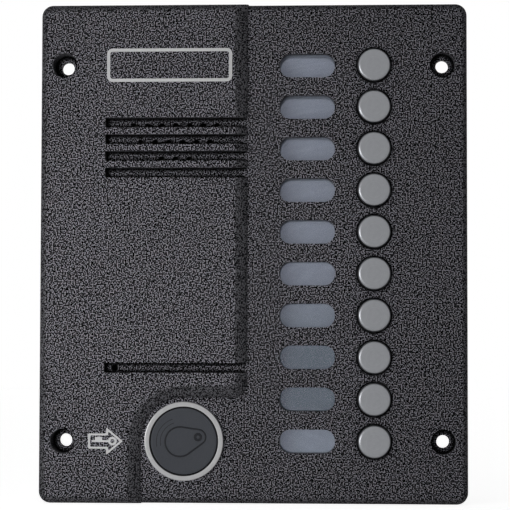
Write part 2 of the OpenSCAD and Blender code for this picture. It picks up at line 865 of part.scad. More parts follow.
// A strip that leaves one header, bends, and comes back to the other
module ribbon_outline() {
    ends = [main_back - header_h, keypad_back - header_h];
    in_x = [ribbon_x[0] + ribbon_t / 2, ribbon_x[1] - ribbon_t / 2];
    for (side = [0, 1]) let (out = side * 2 - 1) {
        translate([ribbon_x[side] - ribbon_t / 2, ribbon_z + ribbon_t + ribbon_bend])
            square([ribbon_t, ends[side] - ribbon_z - ribbon_t - ribbon_bend]);
        intersection() {
            translate([in_x[side] - out * ribbon_bend, ribbon_z + ribbon_t + ribbon_bend]) difference() {
                circle(ribbon_bend + ribbon_t);
                circle(ribbon_bend);
            }
            translate([in_x[side] - (out > 0 ? ribbon_bend : ribbon_t), ribbon_z])
                square(ribbon_bend + ribbon_t);
        }
    }
    translate([in_x[0] + ribbon_bend, ribbon_z]) square([in_x[1] - in_x[0] - 2 * ribbon_bend, ribbon_t]);
}

module ribbon_cable() {
    color("#8d9095") upright() translate([0, ribbon_y + ribbon_l / 2, 0]) rotate([90, 0, 0])
        linear_extrude(ribbon_l) ribbon_outline();
}

module ribbon_headers() {
    color("#1d1d20") upright() {
        translate([ribbon_x[0], ribbon_y, 0]) brick(header_w, header_l, main_back - header_h, main_back);
        translate([ribbon_x[1], ribbon_y, 0]) brick(header_w, header_l, keypad_back - header_h, keypad_back);
    }
}

// Speaker

module at_speaker() {
    translate([speaker_x, speaker_y, 0]) children();
}

module speaker_gasket() {
    color("#2b2b2d") upright() at_speaker() difference() {
        disc(speaker_d, rim_z, inner);
        disc(speaker_d - 2 * gasket_w, rim_z - 1, inner + 1);
    }
}

module speaker_basket() {
    rim_in = basket_in_d / 2;
    cup = magnet_d / 2;
    color("#8e9094") upright() at_speaker() {
        rotate_extrude() polygon([
            [rim_in, rim_z], [speaker_d / 2, rim_z], [speaker_d / 2, clamp_z], [rim_in + 0.6, clamp_z],
            [cup, basket_back], [cup - 6, basket_back], [cup - 6, basket_back + rim_t],
            [cup - 0.5, basket_back + rim_t]
        ]);
        translate([0, -speaker_d / 2 - tag_l / 2 + sink, 0]) brick(tag_w, tag_l + sink, clamp_z, rim_z);
    }
}

module speaker_cone() {
    rim_in = basket_in_d / 2;
    paper = 0.4;
    cap_r = 4.2;
    throat = basket_back + 2;
    color("#3a3836") upright() at_speaker() rotate_extrude() polygon([
        [rim_in + 0.8, rim_z], [rim_in + 0.8, rim_z + paper], [rim_in - 0.4, rim_z + paper * 1.8],
        [rim_in - 1.6, rim_z + paper], [cap_r, throat + paper * 2], [cap_r - 2, throat + 1.6], [0, throat + 2],
        [0, throat + 2 - paper], [cap_r - 2.2, throat + 1.6 - paper], [cap_r - 0.2, throat + paper],
        [cap_r, throat], [rim_in - 1.4, rim_z]
    ]);
}

module speaker_magnet() {
    plate_t = 1.2;
    color("#5a5c60") upright() at_speaker() {
        disc(magnet_d - 3, basket_back - plate_t, basket_back);
        disc(magnet_d, basket_back - magnet_l + plate_t, basket_back - plate_t);
        disc(magnet_d - 3, basket_back - magnet_l, basket_back - magnet_l + plate_t);
    }
}

module speaker_clamps() {
    reach = clamp_at - speaker_d / 2 + 1.6;
    color("#b9bbbd") upright() at_clamps() translate([clamp_at, 0, 0]) difference() {
        translate([(clamp_w / 2 - reach) / 2, 0, 0])
            brick(reach + clamp_w / 2, clamp_w, clamp_z - clamp_t, clamp_z);
        disc(small_screw_d + 4 * fit, clamp_z - clamp_t - 1, clamp_z + 1);
    }
}

module speaker_screws() {
    color("#b9bbbd") upright() at_clamps() translate([clamp_at, 0, 0])
        small_screw(clamp_z - clamp_t, clamp_screw_end);
}

// Two wires that bend from the speaker's tags to the main board
module speaker_leads() {
    from = [speaker_y - speaker_d / 2 - tag_l + 2 * sink, clamp_z];
    to = [main_top - 3, main_front];
    pull = (from[1] - to[1]) * 0.6;
    sides = 8;
    function spot(t) = pow(1 - t, 3) * from + 3 * t * pow(1 - t, 2) * (from - [0, pull])
        + 3 * t * t * (1 - t) * (to + [0, pull]) + pow(t, 3) * to;
    function heading(t) = t <= 0 || t >= 1 ? [0, -1] : spot(t + 0.01) - spot(t - 0.01);
    color("#a33a32") upright() for (x = [-lead_gap / 2, lead_gap / 2]) translate([speaker_x + x, 0, 0]) sweep([
        for (step = [0:lead_rings]) let (
            t = step / lead_rings, p = spot(t), run = heading(t) / norm(heading(t))
        ) [
            for (side = [0:sides - 1]) let (a = -360 * side / sides) [
                wire_d / 2 * cos(a),
                p[0] - run[1] * wire_d / 2 * sin(a),
                p[1] + run[0] * wire_d / 2 * sin(a)
            ]
        ]
    ]);
}

// Microphone

module at_microphone() {
    translate([mic_x, mic_slot_y, 0]) children();
}

module microphone_capsule() {
    color("#b9bbbd") upright() at_microphone() difference() {
        disc(capsule_d, capsule_back, capsule_front);
        disc(sound_hole_d / 2, capsule_front - 0.5, capsule_front + 1);
    }
}

module microphone_boot() {
    color("#232325") upright() at_microphone() difference() {
        disc(boot_d, boot_back, inner);
        disc(capsule_d, boot_back - 1, capsule_front);
        disc(sound_hole_d, capsule_front - 1, inner + 1);
    }
}

module microphone_leads() {
    color("#a33a32") upright() at_microphone() for (x = [-1, 1]) translate([x * capsule_d / 5, 0, 0])
        disc(wire_d, main_front, capsule_back);
}

// Key reader

module at_reader() {
    translate([reader_x, reader_y, 0]) children();
}

module reader_ring() {
    face_in = ring_d / 2 - ring_face;
    color("#98999b") upright() at_reader() rotate_extrude() difference() {
        union() {
            translate([0, low]) edge_profile(ring_d / 2, ring_proud, ring_edge_r);
            translate([0, barrel_end]) square([barrel_d / 2, low - barrel_end + web_t]);
        }
        translate([0, pad_seat]) square([face_in, ring_proud]);
        translate([0, barrel_end - 1]) square([barrel_bore_d / 2, low - barrel_end + 3]);
    }
}

module reader_pad() {
    color("#3b3e43") upright() at_reader() rotate_extrude() {
        translate([0, pad_seat]) edge_profile(pad_d / 2, pad_front - pad_seat, 0.2);
        translate([0, bobbin_end]) square([bobbin_d / 2, pad_seat - bobbin_end + sink]);
        translate([0, bobbin_end]) square([coil_d / 2, 0.6]);
    }
}

module reader_coil() {
    color("#b06a35") upright() at_reader() difference() {
        disc(coil_d, bobbin_end + 0.6 + coil_room, pad_seat - coil_room);
        disc(bobbin_d + 2 * fit, bobbin_end, pad_seat + 1);
    }
}

module reader_nut() {
    color("#b5a15a") upright() at_reader() difference() {
        hexagon(nut_flats, inner - nut_t, inner);
        disc(barrel_d + 2 * fit, inner - nut_t - 1, inner + 1);
    }
}

module reader_leads() {
    color("#a33a32") upright() at_reader() for (x = [-1, 1]) translate([x * bobbin_d / 4, 0, 0])
        disc(wire_d, main_front, bobbin_end);
}

// Rear box and seals

module wall_seal_outline() {
    grow = box_clear + wall_seal_land + wall_seal_w;
    outline_rect(box_w + 2 * grow, box_h + 2 * grow, box_r + grow, wall_seal_w);
}

module wall_seal() {
    color("#1f1f21") upright() slab(0, wall_seal_t) wall_seal_outline();
}

module rear_box() {
    color("#4b4d50") upright() difference() {
        union() {
            difference() {
                slab(box_back, box_rim_z) rounded_rect(box_w, box_h, box_r);
                slab(box_floor, box_rim_z + 1) rounded_rect(box_in_w, box_in_h, box_r - box_wall);
            }
            at_corners(pillar_x, pillar_y) disc(2 * pillar_r, box_floor - sink, 0);
        }
        at_corners(pillar_x, pillar_y) disc(box_screw_d + 2 * box_screw_play, box_back - 1, 1);
        translate([grommet_at[0], grommet_at[1], 0]) disc(grommet_d, box_back - 1, box_floor + 1);
    }
}

module box_seal() {
    color("#1f1f21") upright() slab(box_rim_z, inner) outline_rect(box_w, box_h, box_r, box_wall);
}

module box_screws() {
    color("#b9bbbd") upright() at_corners(pillar_x, pillar_y)
        pan_screw(box_screw_d, box_head_d, box_head_h, box_back, box_screw_end);
}

module cable_grommet() {
    lip_r = grommet_d / 2 + grommet_lip;
    color("#1f1f21") upright() translate([grommet_at[0], grommet_at[1], 0]) difference() {
        union() {
            disc(grommet_d, box_back - sink, box_floor + sink);
            disc(2 * lip_r, box_back - grommet_lip_t, box_back);
            disc(2 * lip_r, box_floor, box_floor + grommet_lip_t);
        }
        disc(grommet_bore_d, box_back - grommet_lip_t - 1, box_floor + grommet_lip_t + 1);
    }
}

front_panel();
nameplate_frame();
key_arrow_sign();
wall_seal();
rear_box();
box_seal();
box_screws();
cable_grommet();
label_window_strip();
name_card();
for (i = [1:button_count]) {
    call_button(i);
    button_spring(i);
}
keypad_board();
call_switches();
backlight_leds();
keypad_screws();
main_board();
board_standoffs();
board_screws();
lock_relay();
controller_chip();
smoothing_capacitors();
terminal_block();
terminal_screws();
ribbon_cable();
ribbon_headers();
speaker_basket();
speaker_cone();
speaker_magnet();
speaker_gasket();
speaker_clamps();
speaker_screws();
speaker_leads();
microphone_capsule();
microphone_boot();
microphone_leads();
reader_ring();
reader_pad();
reader_coil();
reader_nut();
reader_leads();
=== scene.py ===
import json
import math

import bpy
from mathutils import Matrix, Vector

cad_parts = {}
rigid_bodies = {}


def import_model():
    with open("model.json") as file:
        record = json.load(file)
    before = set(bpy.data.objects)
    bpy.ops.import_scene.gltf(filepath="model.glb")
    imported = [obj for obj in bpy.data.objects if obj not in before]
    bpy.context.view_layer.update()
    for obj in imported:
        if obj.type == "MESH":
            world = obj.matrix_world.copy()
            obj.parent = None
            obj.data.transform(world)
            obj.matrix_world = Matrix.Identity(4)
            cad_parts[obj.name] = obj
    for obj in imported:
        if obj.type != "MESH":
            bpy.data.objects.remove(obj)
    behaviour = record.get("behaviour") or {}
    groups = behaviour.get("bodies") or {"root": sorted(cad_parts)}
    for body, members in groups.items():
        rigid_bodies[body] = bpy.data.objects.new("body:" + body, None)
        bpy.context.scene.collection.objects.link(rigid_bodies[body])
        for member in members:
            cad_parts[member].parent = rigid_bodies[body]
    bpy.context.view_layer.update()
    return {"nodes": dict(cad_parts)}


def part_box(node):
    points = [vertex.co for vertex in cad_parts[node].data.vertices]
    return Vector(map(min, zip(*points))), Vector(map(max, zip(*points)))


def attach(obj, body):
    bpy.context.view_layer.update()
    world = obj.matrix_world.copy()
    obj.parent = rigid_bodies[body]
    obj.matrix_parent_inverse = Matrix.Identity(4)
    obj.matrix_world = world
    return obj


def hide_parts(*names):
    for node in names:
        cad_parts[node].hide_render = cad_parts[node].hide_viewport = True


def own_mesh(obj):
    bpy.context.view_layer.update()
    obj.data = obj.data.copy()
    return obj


for thing in list(bpy.data.objects):  # start from an empty scene
    bpy.data.objects.remove(thing)
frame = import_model()
nodes = frame["nodes"]
scene = bpy.context.scene
scene.view_settings.view_transform = "Standard"
mm = 0.001
mergeGap = 1e-6  # metres: points closer than this are one
cutGap = 1e-7  # and a cut snaps to points closer than this
print("frame loaded:", len(nodes), "nodes")

# places that pieces and finishes share, in millimetres
buttonCount = 10
buttonPitch = 12.7
buttonX = 36.75
buttonTop = 57.15
readerCentre = (-20.8, -57.15)
speakerCentre = (-23.75, 41.5)


# camera at the photograph's angle
cameraValues = {
    "place": (0.03066, -0.57863, -0.02851),
    "turn": (92.77587, -0.12266, 2.99928),  # degrees
    "lens": 133.29,
}
bpy.ops.object.camera_add(
    location=cameraValues["place"],
    rotation=[math.radians(a) for a in cameraValues["turn"]],
)
camera = bpy.context.object
camera.name = "viewCamera"
camera.data.lens = cameraValues["lens"]
camera.data.sensor_width = 36
camera.data.clip_start = 0.01
camera.data.dof.use_dof = False
scene.camera = camera
print("camera set")


# small tools for modelling
def endEdit():
    bpy.ops.object.mode_set(mode="OBJECT")


def deselectAll():
    if bpy.context.object and bpy.context.object.mode != "OBJECT":
        endEdit()
    bpy.ops.object.select_all(action="DESELECT")


def makeActive(piece):
    deselectAll()
    piece.select_set(True)
    bpy.context.view_layer.objects.active = piece


def startEdit(piece, mode="VERT", action=None):  # without an action the selection stays as it was
    makeActive(piece)
    bpy.ops.object.mode_set(mode="EDIT")
    bpy.ops.mesh.select_mode(type=mode)
    if action:
        bpy.ops.mesh.select_all(action=action)


def closeMesh():  # merges doubles and turns the faces outwards
    bpy.ops.mesh.select_all(action="SELECT")
    bpy.ops.mesh.remove_doubles(threshold=mergeGap)
    bpy.ops.mesh.normals_make_consistent(inside=False)
    endEdit()


def applyModifiers(piece):
    makeActive(piece)
    for modifier in list(piece.modifiers):
        bpy.ops.object.modifier_apply(modifier=modifier.name)


def settle(piece, angle=35):  # place goes into the mesh, object to the origin
    makeActive(piece)
    bpy.ops.object.transform_apply(location=True, rotation=True, scale=True)
    bpy.ops.object.shade_smooth_by_angle(angle=math.radians(angle))


edgeValues = {"level": 0.4, "broken": 30, "corner": 40, "cornerSteps": 6}  # angles in degrees


def roundCorners(piece, radius, keep):  # rounds the corners seen from the front that keep() picks
    startEdit(piece, "EDGE", "DESELECT")
    bpy.ops.mesh.edges_select_sharp(sharpness=math.radians(edgeValues["corner"]))
    endEdit()
    points = piece.data.vertices
    picked = []
    for edge in piece.data.edges:
        first, second = (points[i].co for i in edge.vertices)
        upright = math.hypot(first.x - second.x, first.z - second.z) < mergeGap
        if edge.select and upright and keep(first):
            picked.append(edge.index)
    startEdit(piece, "EDGE", "DESELECT")
    endEdit()
    for index in picked:
        piece.data.edges[index].select = True
    startEdit(piece, "EDGE")
    bpy.ops.mesh.bevel(offset=radius * mm, segments=edgeValues["cornerSteps"], affect="EDGES")
    endEdit()


def softCopy(node, name, values, corner=0, keep=None):  # the CAD solid with its edges broken
    piece = bpy.data.objects.new(name, nodes[node].data.copy())
    scene.collection.objects.link(piece)
    startEdit(piece, action="SELECT")
    bpy.ops.mesh.remove_doubles(threshold=mergeGap)
    bpy.ops.mesh.dissolve_limited(angle_limit=math.radians(edgeValues["level"]))
    endEdit()
    if corner:
        roundCorners(piece, corner, keep)
    bevel = piece.modifiers.new("edgeRound", "BEVEL")
    bevel.width = values["edgeBreak"] * mm
    bevel.segments = values["edgeSteps"]
    bevel.limit_method = "ANGLE"
    bevel.angle_limit = math.radians(edgeValues["broken"])
    bevel.use_clamp_overlap = True
    bevel.harden_normals = False
    bevel.miter_outer = "MITER_ARC"
    applyModifiers(piece)
    startEdit(piece, action="SELECT")
    bpy.ops.mesh.dissolve_degenerate(threshold=mergeGap)  # slivers left by the bevel
    endEdit()
    weighted = piece.modifiers.new("evenShade", "WEIGHTED_NORMAL")
    weighted.keep_sharp = True
    settle(piece)
    applyModifiers(piece)
    return piece


def arcPoints(centre, radius, start, end, count):  # rounding for a turned profile
    points = []
    for i in range(count + 1):
        a = math.radians(start + (end - start) * i / count)
        points.append((centre[0] + radius * math.cos(a), centre[1] + radius * math.sin(a)))
    return points


def turnPiece(name, profile, centre, segments, loop=False):  # profile: radius, height off the wall
    x, z = centre[0] * mm, centre[1] * mm
    radius, height = profile[0]
    deselectAll()
    bpy.ops.mesh.primitive_circle_add(
        vertices=segments, radius=radius * mm, fill_type="NOTHING" if loop else "NGON",
        location=(x, -height * mm, z), rotation=(math.pi / 2, 0, 0))
    piece = bpy.context.object
    piece.name = name
    startEdit(piece, "EDGE" if loop else "FACE", "SELECT")
    for nextRadius, nextHeight in profile[1:]:
        step = {"value": (0, (height - nextHeight) * mm, 0)}
        if loop:
            bpy.ops.mesh.extrude_edges_move(TRANSFORM_OT_translate=step)
        else:
            bpy.ops.mesh.extrude_region_move(TRANSFORM_OT_translate=step)
        grow = nextRadius / radius
        bpy.ops.transform.resize(value=(grow, 1, grow), center_override=(x, -nextHeight * mm, z))
        radius, height = nextRadius, nextHeight
    closeMesh()
    return piece


def copyPiece(piece, name, shift):
    copy = bpy.data.objects.new(name, piece.data.copy())
    scene.collection.objects.link(copy)
    copy.location = shift
    settle(copy)
    return copy


def copyDown(first, stem):  # the first piece and a copy for each lower button
    pieces = [first]
    for i in range(1, buttonCount):
        pieces.append(copyPiece(first, f"{stem}{i + 1:02d}", (0, 0, -i * buttonPitch * mm)))
    return pieces


finish = {}  # every material by its name


def finishPiece(piece, material, body, slot, *replaced):
    piece.data.materials.clear()
    piece.data.materials.append(finish[material])
    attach(piece, body)
    if replaced:
        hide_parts(*replaced)


# small tools for shading
def feed(tree, socket, value):  # a link, a number or a colour
    if isinstance(value, (int, float)):
        socket.default_value = value
    elif isinstance(value, tuple):
        socket.default_value = (*value, 1)
    else:
        tree.links.new(value, socket)


def mathNode(tree, operation, *values):
    node = tree.nodes.new("ShaderNodeMath")
    node.operation = operation
    for socket, value in zip(node.inputs, values):
        feed(tree, socket, value)
    return node.outputs[0]


def rangeNode(tree, value, low, high, toLow, toHigh):
    node = tree.nodes.new("ShaderNodeMapRange")
    for socket, number in zip(node.inputs, (value, low, high, toLow, toHigh)):
        feed(tree, socket, number)
    return node.outputs[0]


def noiseNode(tree, vector, scale, detail=2.0, roughness=0.5, distortion=0.0):
    node = tree.nodes.new("ShaderNodeTexNoise")
    feed(tree, node.inputs["Vector"], vector)
    feed(tree, node.inputs["Scale"], scale)
    feed(tree, node.inputs["Detail"], detail)
    feed(tree, node.inputs["Roughness"], roughness)
    feed(tree, node.inputs["Distortion"], distortion)
    return node.outputs["Fac"]


def waveNode(tree, vector, direction, scale, distortion=0.0):
    node = tree.nodes.new("ShaderNodeTexWave")
    node.wave_type = "BANDS"
    node.bands_direction = direction
    feed(tree, node.inputs["Vector"], vector)
    feed(tree, node.inputs["Scale"], scale)
    feed(tree, node.inputs["Distortion"], distortion)
    return node.outputs["Fac"]


def mixColors(tree, factor, first, second, blend="MIX"):
    node = tree.nodes.new("ShaderNodeMix")
    node.data_type = "RGBA"
    node.blend_type = blend
    for i, value in ((0, factor), (6, first), (7, second)):  # the sockets of its colour form
        feed(tree, node.inputs[i], value)
    return node.outputs[2]


def rampNode(tree, factor, stops, smooth="LINEAR"):
    node = tree.nodes.new("ShaderNodeValToRGB")
    node.color_ramp.interpolation = smooth
    elements = node.color_ramp.elements
    for i, (place, color) in enumerate(stops):
        element = elements[i] if i < 2 else elements.new(place)
        element.position = place
        element.color = (*color, 1)
    feed(tree, node.inputs[0], factor)
    return node.outputs[0]


def greyStops(*stops):
    return [(place, (grey, grey, grey)) for place, grey in stops]


def splitVector(tree, vector):
    node = tree.nodes.new("ShaderNodeSeparateXYZ")
    feed(tree, node.inputs[0], vector)
    return [node.outputs[axis] for axis in "XYZ"]


def joinVector(tree, *values):
    node = tree.nodes.new("ShaderNodeCombineXYZ")
    for socket, value in zip(node.inputs, values):
        feed(tree, socket, value)
    return node.outputs[0]


def reachNode(tree, across, up):  # distance from an axis along Y
    squares = [mathNode(tree, "MULTIPLY", value, value) for value in (across, up)]
    return mathNode(tree, "SQRT", mathNode(tree, "ADD", *squares))


def weighNode(tree, first, second, share):  # a share of the first, the rest of the second
    rest = mathNode(tree, "MULTIPLY", second, 1 - share)
    return mathNode(tree, "ADD", mathNode(tree, "MULTIPLY", first, share), rest)


def newGroup(name, inputs, outputs):
    group = bpy.data.node_groups.new(name, "ShaderNodeTree")
    for label, kind, value in inputs:
        socket = group.interface.new_socket(name=label, in_out="INPUT", socket_type=kind)
        if value is not None:
            socket.default_value = value
    for label, kind in outputs:
        group.interface.new_socket(name=label, in_out="OUTPUT", socket_type=kind)
    start = group.nodes.new("NodeGroupInput")
    end = group.nodes.new("NodeGroupOutput")
    return group, start.outputs, end.inputs


def placeGroup(tree, group, vector, values):
    node = tree.nodes.new("ShaderNodeGroup")
    node.node_tree = group
    feed(tree, node.inputs["Vector"], vector)
    for label, value in values.items():
        feed(tree, node.inputs[label], value)
    return node.outputs


def newMaterial(name, place=(0, 0, 0), turn=(0, 0, 0)):
    material = bpy.data.materials.new(name)
    material.use_nodes = True
    finish[name] = material
    tree = material.node_tree
    tree.nodes.clear()
    output = tree.nodes.new("ShaderNodeOutputMaterial")
    shader = tree.nodes.new("ShaderNodeBsdfPrincipled")
    coords = tree.nodes.new("ShaderNodeTexCoord")
    mapping = tree.nodes.new("ShaderNodeMapping")
    mapping.inputs["Location"].default_value = place
    mapping.inputs["Rotation"].default_value = turn
    feed(tree, mapping.inputs["Vector"], coords.outputs["Object"])
    feed(tree, output.inputs["Surface"], shader.outputs[0])
    return tree, shader, mapping.outputs[0]


def setSurface(tree, shader, color, rough, height, strength, depth):  # colour, roughness and bump
    feed(tree, shader.inputs["Base Color"], color)
    feed(tree, shader.inputs["Roughness"], rough)
    bump = tree.nodes.new("ShaderNodeBump")
    bump.inputs["Strength"].default_value = strength
    bump.inputs["Distance"].default_value = depth * mm
    feed(tree, bump.inputs["Height"], height)
    feed(tree, shader.inputs["Normal"], bump.outputs[0])


# shader groups that several finishes share
vec, num, col = "NodeSocketVector", "NodeSocketFloat", "NodeSocketColor"

# fine mottling: one colour drifting into another, with a matching height and roughness
grainGroup, start, end = newGroup(
    "fineGrain",
    [("Vector", vec, None), ("Scale", num, 1500.0), ("Base", col, (0.5, 0.5, 0.5, 1)),
     ("Speck", col, (0.4, 0.4, 0.4, 1)), ("Rough Low", num, 0.4), ("Rough High", num, 0.6)],
    [("Color", col), ("Rough", num), ("Height", num)])
fine = noiseNode(grainGroup, start["Vector"], start["Scale"], 4, 0.6)
broad = noiseNode(grainGroup, start["Vector"], 60)
mottle = rangeNode(grainGroup, weighNode(grainGroup, fine, broad, 0.75), 0.35, 0.65, 0, 1)
feed(grainGroup, end["Color"], mixColors(grainGroup, mottle, start["Base"], start["Speck"]))
feed(grainGroup, end["Rough"], rangeNode(grainGroup, mottle, 0, 1, start["Rough Low"], start["Rough High"]))
feed(grainGroup, end["Height"], fine)

# lathe marks round the Y axis of the incoming vector
turnedGroup, start, end = newGroup(
    "turnedMarks", [("Vector", vec, None), ("Rings Per Metre", num, 9000.0)],
    [("Mark", num), ("Height", num)])
x, y, z = splitVector(turnedGroup, start["Vector"])
marks = noiseNode(
    turnedGroup, joinVector(turnedGroup, reachNode(turnedGroup, x, z), y), start["Rings Per Metre"], 3, 0.7)
haze = noiseNode(turnedGroup, start["Vector"], 900)
mark = rangeNode(turnedGroup, weighNode(turnedGroup, marks, haze, 0.7), 0.3, 0.7, 0, 1)
feed(turnedGroup, end["Mark"], mark)
feed(turnedGroup, end["Height"], marks)

# hammered enamel: dark hollows and pale crowns; the paleness of the crowns is a painted highlight for glints
# on them
hammerGroup, start, end = newGroup(
    "hammeredEnamel", [("Vector", vec, None), ("Scale", num, 1000.0)],
    [("Color", col), ("Rough", num), ("Height", num)])
cells = noiseNode(hammerGroup, start["Vector"], start["Scale"], 0.0, 0.5, 0.15)
grainAndGlintTone = rampNode(hammerGroup, cells, [
    (0.470, (0.001, 0.001, 0.0012)), (0.525, (0.0185, 0.0180, 0.0212)), (0.578, (0.48, 0.473, 0.533))])
drift = noiseNode(hammerGroup, start["Vector"], 45)
driftTone = rampNode(hammerGroup, drift, greyStops((0.3, 0.92), (0.7, 1.0)))
feed(hammerGroup, end["Color"], mixColors(hammerGroup, 1.0, grainAndGlintTone, driftTone, "MULTIPLY"))
feed(hammerGroup, end["Rough"], rangeNode(hammerGroup, cells, 0.3, 0.7, 0.52, 0.36))
feed(hammerGroup, end["Height"], cells)
print("shader groups ready")


# the panel's enamel
paintValues = {
    "grainScale": 2500, "bumpStrength": 0.35, "bumpDepth": 0.10, "gloss": 0.02,
    "flat": 0.998, "tilted": 0.955,  # how squarely a face looks forwards: forward faces keep the grain with its painted glints, tilted faces take a painted shade without them
    "raised": 8.5, "low": 6.3, "lowTone": 0.90,  # the low half is a little darker
    "gapShadeStart": 5.2, "gapShadeEnd": 6.7, "cornerShadeReach": 1.65,
}
v = paintValues
tree, shader, vector = newMaterial("hammerPaint")
hammer = placeGroup(tree, hammerGroup, vector, {"Scale": v["grainScale"]})
x, y, z = splitVector(tree, vector)

normal = tree.nodes.new("ShaderNodeTexCoord").outputs["Normal"]
level = rangeNode(tree, splitVector(tree, normal)[1], -v["flat"], -v["tilted"], 1, 0)
tiltShadeTone = rampNode(tree, hammer["Height"], [(0.46, (0.016, 0.0155, 0.018)), (0.55, (0.200, 0.198, 0.217))])
enamelWithPaintedLight = mixColors(tree, level, tiltShadeTone, hammer["Color"])  # painted shade: faces turned from the front lose the painted glints of the grain and take a darker, smoother tone

lowTone = rangeNode(tree, y, -v["raised"] * mm, -v["low"] * mm, 1.0, v["lowTone"])

below = mathNode(tree, "SUBTRACT", buttonTop * mm, z)
nearest = mathNode(tree, "ROUND", mathNode(tree, "DIVIDE", below, buttonPitch * mm))
nearest = mathNode(tree, "MAXIMUM", mathNode(tree, "MINIMUM", nearest, buttonCount - 1), 0)
row = mathNode(tree, "SUBTRACT", below, mathNode(tree, "MULTIPLY", nearest, buttonPitch * mm))
column = mathNode(tree, "SUBTRACT", x, buttonX * mm)
gapShadeMask = rangeNode(tree, reachNode(tree, row, column), v["gapShadeStart"] * mm, v["gapShadeEnd"] * mm, 0, 1)
gapShadeTone = rampNode(  # painted shade: a dark ring round each button's hole, where the gap round the button lies in shade
    tree, gapShadeMask, greyStops((0.0, 0.04), (0.15, 0.30), (0.35, 0.72), (1.0, 1.0)))

cornerShadeAO = tree.nodes.new("ShaderNodeAmbientOcclusion")  # painted shade: ambient occlusion darkens the panel's corners and creases
cornerShadeAO.samples = 8
cornerShadeAO.only_local = True
cornerShadeAO.inputs["Distance"].default_value = v["cornerShadeReach"] * mm
cornerShadeTone = rampNode(tree, cornerShadeAO.outputs["AO"], greyStops((0.72, 0.03), (0.86, 0.60), (0.98, 1.0)))

for tone in (lowTone, gapShadeTone, cornerShadeTone):
    enamelWithPaintedLight = mixColors(tree, 1.0, enamelWithPaintedLight, tone, "MULTIPLY")
setSurface(tree, shader, enamelWithPaintedLight, hammer["Rough"], hammer["Height"], v["bumpStrength"], v["bumpDepth"])
shader.inputs["Specular IOR Level"].default_value = v["gloss"]


# turned metal
turnedValues = {
    "bump": 0.1, "bumpDepth": 0.02,
    "seatShade": (0.010, 0.010, 0.011), "seatFade": 0.05, "floorFade": 0.1,
}


def turnedMaterial(name, centre, dark, pale, rough, rings=9000, pitch=0.0, bore=None):
    v = turnedValues
    tree, shader, vector = newMaterial(name, place=(-centre[0] * mm, 0, -centre[1] * mm))
    if pitch or bore:
        x, y, z = splitVector(tree, vector)
    if pitch:  # the same marks round each of a column of pieces
        turns = mathNode(tree, "FRACT", mathNode(tree, "DIVIDE", z, pitch * mm))
        z = mathNode(tree, "MULTIPLY", mathNode(tree, "SUBTRACT", turns, 0.5), pitch * mm)
        vector = joinVector(tree, x, y, z)
    marks = placeGroup(tree, turnedGroup, vector, {"Rings Per Metre": rings})
    tone = mixColors(tree, marks["Mark"], dark, pale)
    if bore:  # painted shade: the wall of the seat is darkened, inside this radius and in front of its floor, where the gap round the pad lies in shade
        radius, floor = bore
        outside = rangeNode(tree, reachNode(tree, x, z), radius * mm, (radius + v["seatFade"]) * mm, 0, 1)
        behind = rangeNode(tree, y, -floor * mm, (v["floorFade"] - floor) * mm, 0, 1)
        tone = mixColors(tree, mathNode(tree, "MAXIMUM", outside, behind), v["seatShade"], tone)
    roughness = rangeNode(tree, marks["Mark"], 0, 1, *rough)
    setSurface(tree, shader, tone, roughness, marks["Height"], v["bump"], v["bumpDepth"])
    shader.inputs["Metallic"].default_value = 1.0


turnedMaterial(
    "buttonNickel", (buttonX, 0), (0.205, 0.211, 0.224), (0.25, 0.256, 0.269), (0.30, 0.40),
    pitch=buttonPitch)
turnedMaterial(
    "readerNickel", readerCentre, (0.30, 0.30, 0.305), (0.36, 0.36, 0.365), (0.26, 0.36), 7000,
    bore=(10.47, 6.5))
turnedMaterial("speakerSteel", speakerCentre, (0.30, 0.30, 0.31), (0.40, 0.40, 0.41), (0.30, 0.42), 3000)


# plain finishes: two colours, roughness, grain per metre, bump and its depth, metal, gloss
def grainMaterial(name, base, speck, rough, scale, bump, depth, metal=0.0, gloss=0.5):
    tree, shader, vector = newMaterial(name)
    grain = placeGroup(tree, grainGroup, vector, {
        "Scale": scale, "Base": base, "Speck": speck, "Rough Low": rough[0], "Rough High": rough[1]})
    setSurface(tree, shader, grain["Color"], grain["Rough"], grain["Height"], bump, depth)
    shader.inputs["Metallic"].default_value = metal
    shader.inputs["Specular IOR Level"].default_value = gloss


